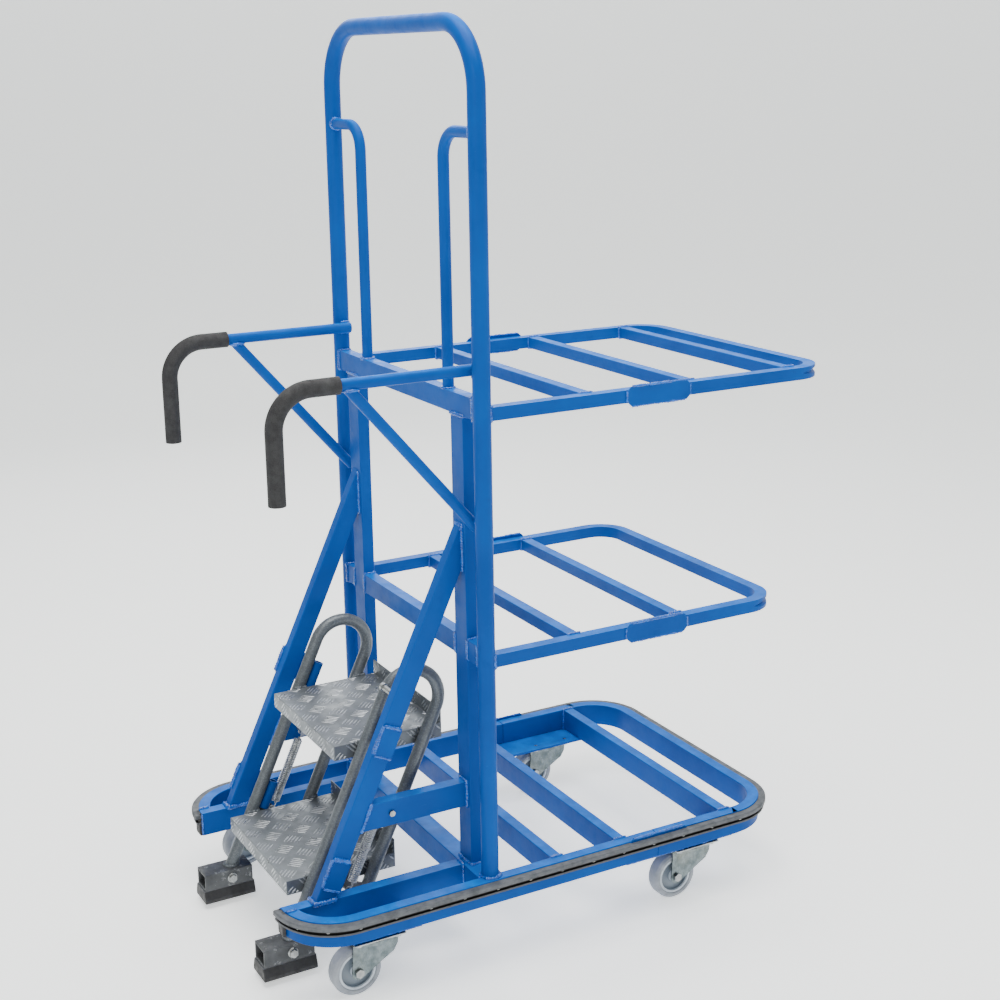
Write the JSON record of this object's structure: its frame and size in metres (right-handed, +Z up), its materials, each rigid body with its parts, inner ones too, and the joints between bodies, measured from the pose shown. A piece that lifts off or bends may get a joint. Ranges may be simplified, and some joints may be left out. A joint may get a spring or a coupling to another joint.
{
  "type": "stock trolley with step unit",
  "caption": "Welded tube trolley with tall mast, two open load hoops, handles, rubber bumper, swivel castors and a sprung two-tread step unit.",
  "frame": {"origin": "bottom centre of the object's box, on the floor under the middle of its length and width", "axes": "+X across the trolley, +Y along it to the load end with the step unit at -Y, +Z up"},
  "size_m": [0.71, 1.23, 1.8],
  "materials": {
    "blue_paint": "gloss enamel",
    "hammer_paint": "hammered metallic grey",
    "dark_paint": "dark grey, worn",
    "black_rubber": "dull black rubber",
    "foam": "fine-celled foam",
    "zinc": "bright zinc plate",
    "wheel_plastic": "light grey moulded plastic",
    "grey_tyre": "grey non-marking rubber"
  },
  "bodies": {
    "chassis": {"base_side_rail_near": "blue_paint", "base_side_rail_far": "blue_paint", "base_rear_rail": "blue_paint", "base_inner_rails": "blue_paint", "base_cross_member": "blue_paint", "deck_bars": "blue_paint", "castor_mount_plates": "blue_paint", "bumper_strip": "black_rubber", "bumper_screws": "zinc", "mast_hoop": "blue_paint", "back_uprights": "blue_paint", "upper_crossbar": "blue_paint", "middle_crossbar": "blue_paint", "guard_tubes": "blue_paint", "upper_load_hoop": "blue_paint", "upper_hoop_bars": "blue_paint", "middle_load_hoop": "blue_paint", "middle_hoop_bars": "blue_paint", "joint_plates": "blue_paint", "handle_near": "blue_paint", "handle_far": "blue_paint", "handle_braces": "blue_paint", "grip_near": "foam", "grip_far": "foam", "stringers": "blue_paint", "stringer_braces": "blue_paint", "guide_brackets": "blue_paint", "guide_tubes": "blue_paint", "guide_pin": "zinc", "spring_bolts": "zinc", "return_springs": "zinc", "castor_top_plates": "zinc", "castor_kingpins": "zinc", "castor_screws": "zinc"},
    "step_unit": {"hairpin_legs": "hammer_paint", "hairpin_bends": "hammer_paint", "upper_tread": "hammer_paint", "lower_tread": "hammer_paint", "foot_boxes": "dark_paint", "foot_pads": "black_rubber", "foot_bolts": "zinc", "spring_lugs": "dark_paint"},
    "swivel_front_near": {"fork_front_near": "zinc", "axle_front_near": "zinc"},
    "wheel_front_near": {"hub_front_near": "wheel_plastic", "tyre_front_near": "grey_tyre"},
    "swivel_front_far": {"fork_front_far": "zinc", "axle_front_far": "zinc"},
    "wheel_front_far": {"hub_front_far": "wheel_plastic", "tyre_front_far": "grey_tyre"},
    "swivel_rear_near": {"fork_rear_near": "zinc", "axle_rear_near": "zinc"},
    "wheel_rear_near": {"hub_rear_near": "wheel_plastic", "tyre_rear_near": "grey_tyre"},
    "swivel_rear_far": {"fork_rear_far": "zinc", "axle_rear_far": "zinc"},
    "wheel_rear_far": {"hub_rear_far": "wheel_plastic", "tyre_rear_far": "grey_tyre"}
  },
  "joints": [
    {"name": "step_sink", "type": "slide", "parent": "chassis", "child": "step_unit", "axis": [0, -0.4226, -0.9063], "range_m": [0, 0.0132], "stiffness_N_per_m": 6000, "springref_m": -0.03, "deforming": ["return_springs"]},
    {"name": "swivel_turn_front_near", "type": "hinge", "parent": "chassis", "child": "swivel_front_near", "pos_m": [0.296, -0.431, 0.107], "axis": [0, 0, 1], "continuous": true},
    {"name": "wheel_roll_front_near", "type": "hinge", "parent": "swivel_front_near", "child": "wheel_front_near", "pos_m": [0.296, -0.469, 0.05], "axis": [1, 0, 0], "continuous": true},
    {"name": "swivel_turn_front_far", "type": "hinge", "parent": "chassis", "child": "swivel_front_far", "pos_m": [-0.296, -0.431, 0.107], "axis": [0, 0, 1], "continuous": true},
    {"name": "wheel_roll_front_far", "type": "hinge", "parent": "swivel_front_far", "child": "wheel_front_far", "pos_m": [-0.296, -0.469, 0.05], "axis": [1, 0, 0], "continuous": true},
    {"name": "swivel_turn_rear_near", "type": "hinge", "parent": "chassis", "child": "swivel_rear_near", "pos_m": [0.296, 0.295, 0.107], "axis": [0, 0, 1], "continuous": true},
    {"name": "wheel_roll_rear_near", "type": "hinge", "parent": "swivel_rear_near", "child": "wheel_rear_near", "pos_m": [0.296, 0.257, 0.05], "axis": [1, 0, 0], "continuous": true},
    {"name": "swivel_turn_rear_far", "type": "hinge", "parent": "chassis", "child": "swivel_rear_far", "pos_m": [-0.296, 0.295, 0.107], "axis": [0, 0, 1], "continuous": true},
    {"name": "wheel_roll_rear_far", "type": "hinge", "parent": "swivel_rear_far", "child": "wheel_rear_far", "pos_m": [-0.296, 0.257, 0.05], "axis": [1, 0, 0], "continuous": true}
  ]
}
